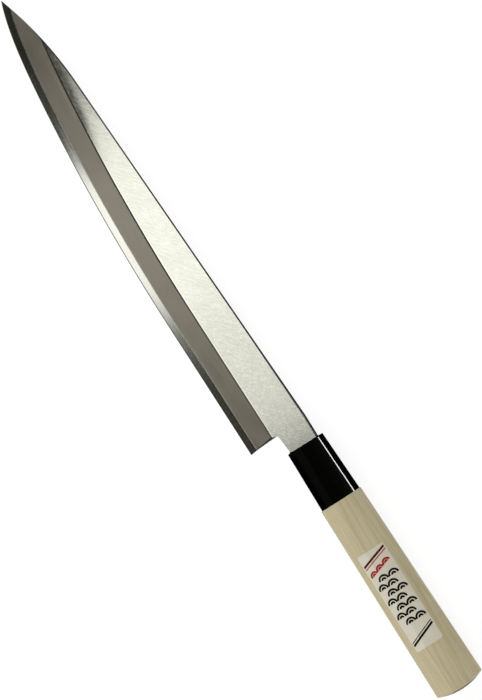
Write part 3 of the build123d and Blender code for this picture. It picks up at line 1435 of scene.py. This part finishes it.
    def seal(self) -> bpy.types.Object:
        """Make the seal: set resin between the neck and the mouth, with a bead at one corner.

        Returns:
            The piece, on the frame.
        """
        mouth = self.oval.outline(self.mouth_half)
        outer = boxed(mouth, self.pocket_low, self.pocket_high)
        inner = boxed(mouth, self.neck_low, self.neck_high)
        bead = Vector(self.neck_high)
        rings = [self.ring(-self.pocket_depth, inner), self.ring(-self.pocket_depth, outer)]
        for share in steps(0, 1, self.round_rings):
            ring = []
            for far, near in zip(outer, inner):
                spot = Vector(far).lerp(Vector(near), share)
                closeness = max(0.0, 1 - (spot - bead).length / self.bead_radius)
                crown = self.seal_proud * sin(pi / 2 * share) + self.bead_rise * closeness**2
                ring.append(self.place.at(crown, spot.x, spot.y))
            rings.append(ring)
        piece = skin("mouth_seal_resin", rings, [self.seal_finish.make()], joined=True)
        return mount(piece, "seal_black", "mouth_seal")

    def butt_rings(self) -> list[Ring]:
        """Lay the rings of the domed butt, which a rounding joins to the sides.

        Returns:
            The rings, from the dome's middle out and round to the shoulder.
        """
        outline = [Vector(point) for point in self.oval.outline(self.butt_half)]
        radius = (self.butt_half**2 + self.dome_depth**2) / (2 * self.dome_depth)
        inner = radius - self.butt_round
        centre = radius - self.length
        rings = []
        for share in steps(0, 1, self.dome_rings):
            ring = []
            for spoke in outline:
                out = share * (spoke.length - self.butt_round) * radius / inner
                ring.append(self.on_spoke(centre - sqrt(radius**2 - out**2), spoke, out))
            rings.append(ring)
        for share in steps(0, 1, self.round_rings)[1:]:
            ring = []
            for spoke in outline:
                foot = spoke.length - self.butt_round
                along = sqrt(inner**2 - foot**2)
                turn = between(atan2(foot, along), pi / 2, share)
                back = centre - along - self.butt_round * cos(turn)
                ring.append(self.on_spoke(back, spoke, foot + self.butt_round * sin(turn)))
            rings.append(ring)
        return rings

    def wood(self) -> bpy.types.Object:
        """Make the wooden handle, with its domed butt, its tenon and the tang's slot.

        Returns:
            The piece, on the frame.
        """
        front = -self.ferrule_length
        tenon = self.socket_radius - self.tenon_fit
        tenon_end = front + self.tenon_length
        rings = self.butt_rings()
        for station in steps(self.shoulder(), front - self.wood_ease, self.length_rings):
            rings.append(self.ring(station, self.oval.outline(self.half_at(station))))
        rings.append(self.ring(front, self.oval.outline(self.wood_half - self.wood_ease)))
        rings.append(self.ring(front, self.circle(tenon)))
        rings.append(self.ring(tenon_end - self.tenon_ease, self.circle(tenon)))
        rings.append(self.ring(tenon_end, self.circle(tenon - self.tenon_ease)))
        rings.append(self.ring(tenon_end, self.slot_at(tenon_end)))
        rings.append(self.ring(-self.slot_length, self.slot_at(-self.slot_length)))
        # The butt's rings take the end grain's darker colour, partly real end grain and partly painted shade
        piece = skin("handle_wood", rings, [self.wood_finish.make(), self.end_grain_and_shade.make()],
                     finish_at=lambda ring, row: int(ring < self.end_grain_and_shade_rings),
                     crease_angle=self.wood_crease)
        return mount(piece, "pale_wood", "handle")

    def label_station(self) -> float:
        """Station of the label's middle."""
        return self.label_butt_gap + self.label_length / 2 - self.length

    def wood_top(self, station: float, reach: float) -> float:
        """Height of the wood's upper side."""
        return self.oval.top(self.half_at(station), reach)

    def label(self) -> bpy.types.Object:
        """Make the label's paper, laid over the top of the wood.

        Returns:
            The piece, on the frame.
        """
        half_width, corner = self.label_width / 2, self.label_corner
        rings = []
        for side in steps(-half_width, half_width, self.paper_rows):
            past = max(0.0, abs(side) - (half_width - corner))
            half_length = self.label_length / 2 - corner + sqrt(max(0.0, corner**2 - past**2))
            reach = self.label_side_reach + side
            top, foot = [], []
            for along in steps(-half_length, half_length, self.paper_columns):
                station = self.label_station() + along
                wood = self.wood_top(station, reach)
                top.append(self.place.at(station, reach, wood + self.paper))
                foot.append(self.place.at(station, reach, wood))
            rings.append(top + foot[::-1])
        piece = skin("label_paper_skin", rings, [self.paper_finish.make()])
        return mount(piece, "label_paper", "label")

    def build(self) -> list[bpy.types.Object]:
        """Make the handle's pieces, with the label's paper last."""
        return [self.ferrule(), self.seal(), self.wood(), self.label()]


# Print on the label


@dataclass(frozen=True)
class Rule:
    """Rule across the label: where its middle lies, from the label's tip end, its width and its slope."""

    name: str
    along: float
    width: float
    slope: float
    ink: Ink


@dataclass(frozen=True)
class WaveField:
    """Staggered rows of wave fans, which open towards the tip.

    along is the middle of the field from the label's tip end, pitch is from fan to fan across
    the label, gap is from row to row, and radius and line are a fan's radius and line width.
    """

    name: str
    along: float
    columns: int
    rows: int
    pitch: float
    gap: float
    radius: float
    line: float
    slant: float
    ink: Ink


class FanTree(Nodes):
    """Geometry nodes that lay rows of wave fans on a sheet of paper.

    Each fan has one arc for each of arc_shares, which are shares of its radius. Every second
    row is shifted by stagger_share of the pitch.
    """

    inputs = {
        "Paper": "NodeSocketObject", "Ink": "NodeSocketMaterial", "Columns": "NodeSocketInt",
        "Rows": "NodeSocketInt", "Pitch": "NodeSocketFloat", "Gap": "NodeSocketFloat",
        "Radius": "NodeSocketFloat", "Line": "NodeSocketFloat", "Rise": "NodeSocketFloat",
        "Slant": "NodeSocketFloat", "Middle": "NodeSocketVector",
    }
    arc_points = 14
    ribbon_levels = 2
    arc_shares = (0.84, 0.32)
    stagger_share = 0.5
    ray_height = 1.0

    def __init__(self) -> None:
        """Lay the nodes and join them."""
        super().__init__(bpy.data.node_groups.new("wave_fans", "GeometryNodeTree"))
        face = self.tree.interface
        face.new_socket("Geometry", in_out="OUTPUT", socket_type="NodeSocketGeometry")
        self.keys = {}
        for name, kind in self.inputs.items():
            self.keys[name] = face.new_socket(name, in_out="INPUT", socket_type=kind).identifier
        self.given = self.lay("NodeGroupInput").outputs
        placed = self.lay("GeometryNodeTransform", {
            "Geometry": self.rows_of_fans(), "Translation": self.given["Middle"],
            "Rotation": self.vector(0, 0, self.given["Slant"])})
        inked = self.lay("GeometryNodeSetMaterial", {
            "Geometry": self.on_paper(placed.outputs[0]), "Material": self.given["Ink"]})
        self.lay("NodeGroupOutput", {0: inked.outputs[0]})

    def fan(self) -> Socket:
        """Lay the arcs of one fan, each a closed ribbon as high as the ink.

        Returns:
            The fan.
        """
        profile = self.lay("GeometryNodeCurvePrimitiveQuadrilateral",
                           {"Width": self.given["Line"], "Height": self.given["Rise"]})
        join = self.lay("GeometryNodeJoinGeometry")
        for share in self.arc_shares:
            bow = self.lay("GeometryNodeCurveArc", {
                "Resolution": self.arc_points, "Radius": self.maths("MULTIPLY", self.given["Radius"], share),
                "Start Angle": -pi / 2, "Sweep Angle": pi}, mode="RADIUS")
            upright = self.lay("GeometryNodeSetCurveNormal", {"Curve": bow.outputs[0]}, mode="Z_UP")
            ribbon = self.lay("GeometryNodeCurveToMesh", {
                "Curve": upright.outputs[0], "Profile Curve": profile.outputs[0], "Fill Caps": True})
            fine = self.lay("GeometryNodeSubdivideMesh", {
                "Mesh": ribbon.outputs[0], "Level": self.ribbon_levels})
            self.feed(join.inputs[0], fine.outputs[0])
        return join.outputs[0]

    def rows_of_fans(self) -> Socket:
        """Lay fans in rows round the origin, staggered where there is more than one row.

        Returns:
            The fans, as real meshes.
        """
        columns, rows = self.given["Columns"], self.given["Rows"]
        points = self.lay("GeometryNodeMeshLine", {"Count": self.maths("MULTIPLY", columns, rows)})
        index = self.lay("GeometryNodeInputIndex").outputs[0]
        row = self.maths("FLOOR", self.maths("DIVIDE", index, columns))
        column = self.maths("FLOORED_MODULO", index, columns)
        odd = self.maths("FLOORED_MODULO", row, 2.0)
        stagger = self.maths("MULTIPLY_ADD", odd, self.stagger_share, -self.stagger_share / 2)
        single = self.maths("COMPARE", rows, 1.0, 0.5)
        shift = self.maths("MULTIPLY", stagger, self.maths("SUBTRACT", 1.0, single))
        middle_column = self.maths("MULTIPLY_ADD", columns, 0.5, -0.5)
        middle_row = self.maths("MULTIPLY_ADD", rows, 0.5, -0.5)
        across = self.maths("ADD", self.maths("SUBTRACT", column, middle_column), shift)
        along = self.maths("SUBTRACT", row, middle_row)
        spot = self.vector(self.maths("MULTIPLY", along, self.given["Gap"]),
                           self.maths("MULTIPLY", across, self.given["Pitch"]), 0)
        spread = self.lay("GeometryNodeSetPosition", {"Geometry": points.outputs[0], "Position": spot})
        fans = self.lay("GeometryNodeInstanceOnPoints", {"Points": spread.outputs[0], "Instance": self.fan()})
        return self.lay("GeometryNodeRealizeInstances", {"Geometry": fans.outputs[0]}).outputs[0]

    def on_paper(self, flat: Socket) -> Socket:
        """Lay flat print on the paper's upper face, which rays from above find.

        Args:
            flat: the print, with the paper's face at height 0.

        Returns:
            The print on the paper.
        """
        paper = self.lay("GeometryNodeObjectInfo", {"Object": self.given["Paper"]})
        x, y, z = self.parts(self.lay("GeometryNodeInputPosition").outputs[0])
        ray = self.lay("GeometryNodeRaycast", {
            "Target Geometry": paper.outputs["Geometry"],
            "Source Position": self.vector(x, y, self.ray_height),
            "Ray Direction": (0, 0, -1), "Ray Length": 2 * self.ray_height})
        ground = self.parts(ray.outputs["Hit Position"])[2]
        seat = self.vector(x, y, self.maths("ADD", ground, z))
        return self.lay("GeometryNodeSetPosition", {"Geometry": flat, "Position": seat}).outputs[0]


@dataclass
class LabelPrint:
    """Print on the label: double rules at both ends, a field of wave fans and a red row of small ones."""

    handle: Handle
    paper: bpy.types.Object
    rise: float = 0.03 * MM
    rule_rows: int = 60
    side_margin: float = 0.55 * MM
    rules: tuple[Rule, ...] = (
        Rule("rule_red_wide", along=4.0 * MM, width=1.15 * MM, slope=0.325, ink=Ink.DARK_RED),
        Rule("rule_red_fine", along=5.55 * MM, width=0.55 * MM, slope=0.325, ink=Ink.RED),
        Rule("rule_black_fine", along=48.2 * MM, width=0.5 * MM, slope=0.397, ink=Ink.BLACK),
        Rule("rule_black_wide", along=49.65 * MM, width=1.2 * MM, slope=0.397, ink=Ink.BLACK),
    )
    fields: tuple[WaveField, ...] = (
        WaveField("waves_red", along=10.8 * MM, columns=3, rows=1, pitch=4.6 * MM, gap=0.0,
                  radius=2.3 * MM, line=1.0 * MM, slant=radians(18), ink=Ink.RED),
        WaveField("waves_black", along=29.0 * MM, columns=2, rows=7, pitch=5.7 * MM, gap=4.2 * MM,
                  radius=2.9 * MM, line=1.05 * MM, slant=0.0, ink=Ink.BLACK),
    )

    def tip_end(self) -> float:
        """Station of the label's end nearest the tip."""
        return self.handle.label_station() + self.handle.label_length / 2

    def rule(self, rule: Rule) -> bpy.types.Object:
        """Lay a rule on the paper.

        Args:
            rule: what it looks like.

        Returns:
            The piece.
        """
        handle = self.handle
        half = handle.label_width / 2 - self.side_margin
        section = ((-0.5, 0), (0.5, 0), (0.5, 1), (-0.5, 1))
        rings = []
        for side in steps(-half, half, self.rule_rows):
            reach = handle.label_side_reach + side
            middle = self.tip_end() - rule.along - side * rule.slope
            ring = []
            for offset, layer in section:
                station = middle + offset * rule.width
                paper = handle.wood_top(station, reach) + handle.paper
                ring.append(handle.place.at(station, reach, paper + layer * self.rise))
            rings.append(ring)
        return skin(rule.name, rings, [rule.ink.value.make()])

    def waves(self, waves: WaveField, tree: FanTree) -> bpy.types.Object:
        """Grow a field of fans and settle it as a plain mesh.

        Args:
            waves: what it looks like.
            tree: the geometry nodes that grow it.

        Returns:
            The piece.
        """
        station = self.tip_end() - waves.along
        x, y, _ = self.handle.place.at(station, self.handle.label_side_reach, 0)
        piece = show(waves.name, bpy.data.meshes.new(waves.name))
        grow = piece.modifiers.new("waves", "NODES")
        grow.node_group = tree.tree
        values = {
            "Paper": self.paper, "Ink": waves.ink.value.make(), "Columns": waves.columns, "Rows": waves.rows,
            "Pitch": waves.pitch, "Gap": waves.gap, "Radius": waves.radius, "Line": waves.line,
            "Rise": self.rise, "Slant": waves.slant, "Middle": (x, y, self.rise / 2),
        }
        for name, value in values.items():
            grow[tree.keys[name]] = value
        graph = bpy.context.evaluated_depsgraph_get()
        mesh = bpy.data.meshes.new_from_object(piece.evaluated_get(graph))
        piece.modifiers.remove(grow)
        piece.data = mesh
        return piece

    def build(self) -> list[bpy.types.Object]:
        """Make the print.

        Returns:
            The pieces, on the frame.
        """
        tree = FanTree()
        pieces = [self.rule(rule) for rule in self.rules]
        pieces += [self.waves(waves, tree) for waves in self.fields]
        return [mount(piece, "label_paper") for piece in pieces]


# Studio


def area_lamp(name: str, size: Pair, watts: float, place: Matrix) -> None:
    """Put a rectangular lamp into the scene.

    Args:
        name: name of the lamp.
        size: its width and its height.
        watts: its power.
        place: where it hangs and how it is turned; it shines down its own Z axis.
    """
    data = bpy.data.lights.new(name, "AREA")
    data.shape = "RECTANGLE"
    data.size, data.size_y = size
    data.energy = watts
    show(name, data).matrix_world = place


@dataclass(frozen=True)
class Lamp:
    """Soft lamp that looks at the frame's origin: its place, its width and height, and its power."""

    name: str
    centre: Point
    size: Pair
    watts: float

    def hang(self) -> None:
        """Put the lamp into the scene."""
        spot = Vector(self.centre)
        turn = spot.to_track_quat("Z", "X").to_matrix().to_4x4()
        area_lamp(self.name, self.size, self.watts, Matrix.Translation(spot) @ turn)


@dataclass(frozen=True)
class Panel:
    """Level panel over the knife, for the blade to mirror: its spans, and its brightness.

    A radiance of 1 is white in the picture.
    """

    name: str
    span_x: Pair
    span_y: Pair
    radiance: float

    def hang(self, height: float) -> None:
        """Put the panel into the scene.

        Args:
            height: how high over the floor it hangs.
        """
        size = (self.span_x[1] - self.span_x[0], self.span_y[1] - self.span_y[0])
        centre = (sum(self.span_x) / 2, sum(self.span_y) / 2, height)
        watts = self.radiance * pi * size[0] * size[1]
        area_lamp(self.name, size, watts, Matrix.Translation(centre))


@dataclass
class Studio:
    """Camera, floor, lamps and world.

    Image sizes are in pixels, and the centre is the knife's point at the picture's middle. Of the
    side lamps, which hang off the tip, a second set hangs off the butt.
    """

    place: Place
    image_height: int = 700
    pixel: float = 0.5 * MM
    distance: float = 4.0
    centre_station: float = 56.8 * MM
    centre_reach: float = 1.6 * MM
    roll: float = radians(32.77)
    lean: float = radians(10.5)
    sensor: float = 36.0
    floor_half: float = 8.0
    floor_colour: float = 0.8
    seen_shade: float = 0.15
    seen_glow: float = 0.91
    room_colour: Colour = tone(1.0, 0.97, 0.8)
    overhead: float = 0.035
    horizon: float = 0.17
    sky_rise: Pair = (0.4, 0.72)
    side_glow: float = 0.09
    side_rise: Pair = (-0.15, -0.45)
    panel_height: float = 0.5
    panels: tuple[Panel, ...] = (
        Panel("flat_panel", span_x=(0.03, 0.1645), span_y=(0.02, 0.155), radiance=1.27),
        Panel("neck_panel", span_x=(-0.06, 0.03), span_y=(0.02, 0.155), radiance=0.97),
        Panel("bevel_panel", span_x=(0.049, 0.1485), span_y=(0.228, 0.388), radiance=1.13),
        Panel("bevel_panel_dim", span_x=(0.031, 0.049), span_y=(0.228, 0.388), radiance=0.7),
        Panel("bevel_panel_faint", span_x=(0.0, 0.031), span_y=(0.228, 0.388), radiance=0.09),
    )
    side_lamps: tuple[Lamp, ...] = (
        Lamp("key", centre=(0.99, 0.2, 1.19), size=(0.7, 0.7), watts=6.95),
        Lamp("edge_fill", centre=(0.99, 0.99, 0.77), size=(0.7, 0.7), watts=6.4),
        Lamp("spine_fill", centre=(0.99, -0.99, 0.77), size=(0.7, 0.7), watts=0.6),
    )
    line_light: Lamp = Lamp("line_light", centre=(-0.037, -1.2, 0.12), size=(0.12, 0.11), watts=3.0)

    def camera(self) -> None:
        """Set the camera over the knife, leaning to the spine's side."""
        across = Vector((0, cos(self.lean), sin(self.lean)))
        back = Vector((0, -sin(self.lean), cos(self.lean)))
        along = Vector((1, 0, 0))
        right = -sin(self.roll) * along - cos(self.roll) * across
        up = cos(self.roll) * along - sin(self.roll) * across
        target = Vector(self.place.at(self.centre_station, self.centre_reach, 0))
        data = bpy.data.cameras.new("camera")
        data.sensor_width = self.sensor
        data.lens = self.sensor * self.distance / (self.image_height * self.pixel)
        camera = show("camera", data)
        turn = Matrix((right, up, back)).transposed().to_4x4()
        camera.matrix_world = Matrix.Translation(target + back * self.distance) @ turn
        bpy.context.scene.camera = camera

    def floor(self) -> None:
        """Lay the white floor, which keeps the knife's shadow."""
        half = self.floor_half
        mesh = bpy.data.meshes.new("floor")
        corners = [(-half, -half, 0), (half, -half, 0), (half, half, 0), (-half, half, 0)]
        mesh.from_pydata(corners, [], [(0, 1, 2, 3)])
        mesh.materials.append(self.floor_finish())
        floor = show("floor", mesh)

    def floor_finish(self) -> bpy.types.Material:
        """Make the floor white for the camera and for mirror rays, with some of its shade kept.

        Returns:
            The new material.
        """
        material = bpy.data.materials.new("white_floor")
        material.use_nodes = True
        nodes = Nodes(material.node_tree)
        path = nodes.lay("ShaderNodeLightPath").outputs
        plain = nodes.lay("ShaderNodeBsdfDiffuse", {"Color": grey(self.floor_colour)})
        shaded = nodes.lay("ShaderNodeBsdfDiffuse", {"Color": grey(self.seen_shade)})
        glow = nodes.lay("ShaderNodeEmission", {"Strength": self.seen_glow})
        seen = nodes.lay("ShaderNodeAddShader", {0: shaded.outputs[0], 1: glow.outputs[0]})
        direct = nodes.maths("MAXIMUM", path["Is Camera Ray"], path["Is Glossy Ray"])
        share = nodes.maths("MAXIMUM", direct, path["Is Transmission Ray"])
        mix = nodes.lay("ShaderNodeMixShader", {0: share, 1: plain.outputs[0], 2: seen.outputs[0]})
        nodes.lay("ShaderNodeOutputMaterial", {0: mix.outputs[0]})
        return material

    def world(self) -> None:
        """Set the room round the lamps: dim overhead, lighter towards the horizon and the spine's side."""
        world = bpy.data.worlds.new("room")
        world.use_nodes = True
        nodes = Nodes(world.node_tree)
        _, across, up = nodes.parts(nodes.lay("ShaderNodeTexCoord").outputs["Generated"])
        sky = nodes.spread(up, self.sky_rise, (self.horizon, self.overhead))
        glow = nodes.spread(across, self.side_rise, (0.0, self.side_glow))
        room = nodes.lay("ShaderNodeBackground",
                         {"Color": self.room_colour, "Strength": nodes.maths("ADD", sky, glow)})
        nodes.lay("ShaderNodeOutputWorld", {0: room.outputs[0]})
        bpy.context.scene.world = world

    def build(self) -> None:
        """Set up the studio."""
        self.camera()
        self.floor()
        self.world()
        for panel in self.panels:
            panel.hang(self.panel_height)
        for end, sign in (("tip", 1), ("butt", -1)):
            for lamp in self.side_lamps:
                x, y, z = lamp.centre
                replace(lamp, name=f"{end}_{lamp.name}", centre=(sign * x, y, z)).hang()
        self.line_light.hang()
        bpy.context.scene.view_settings.view_transform = "Standard"


def main() -> None:
    """Build the knife and its studio, in order, and note each piece."""
    logging.basicConfig(level=logging.INFO, format="%(name)s: %(message)s")
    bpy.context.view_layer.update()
    oval = RidgedOval()
    place = read_place(oval.height_share)
    Studio(place).build()
    pieces = Blade(place).build()
    handle = Handle(place, oval)
    pieces += handle.build()
    pieces += LabelPrint(handle, paper=pieces[-1]).build()
    for piece in pieces:
        log.info("%s: %d faces", piece.name, len(piece.data.polygons))


if __name__ == "__main__":
    main()
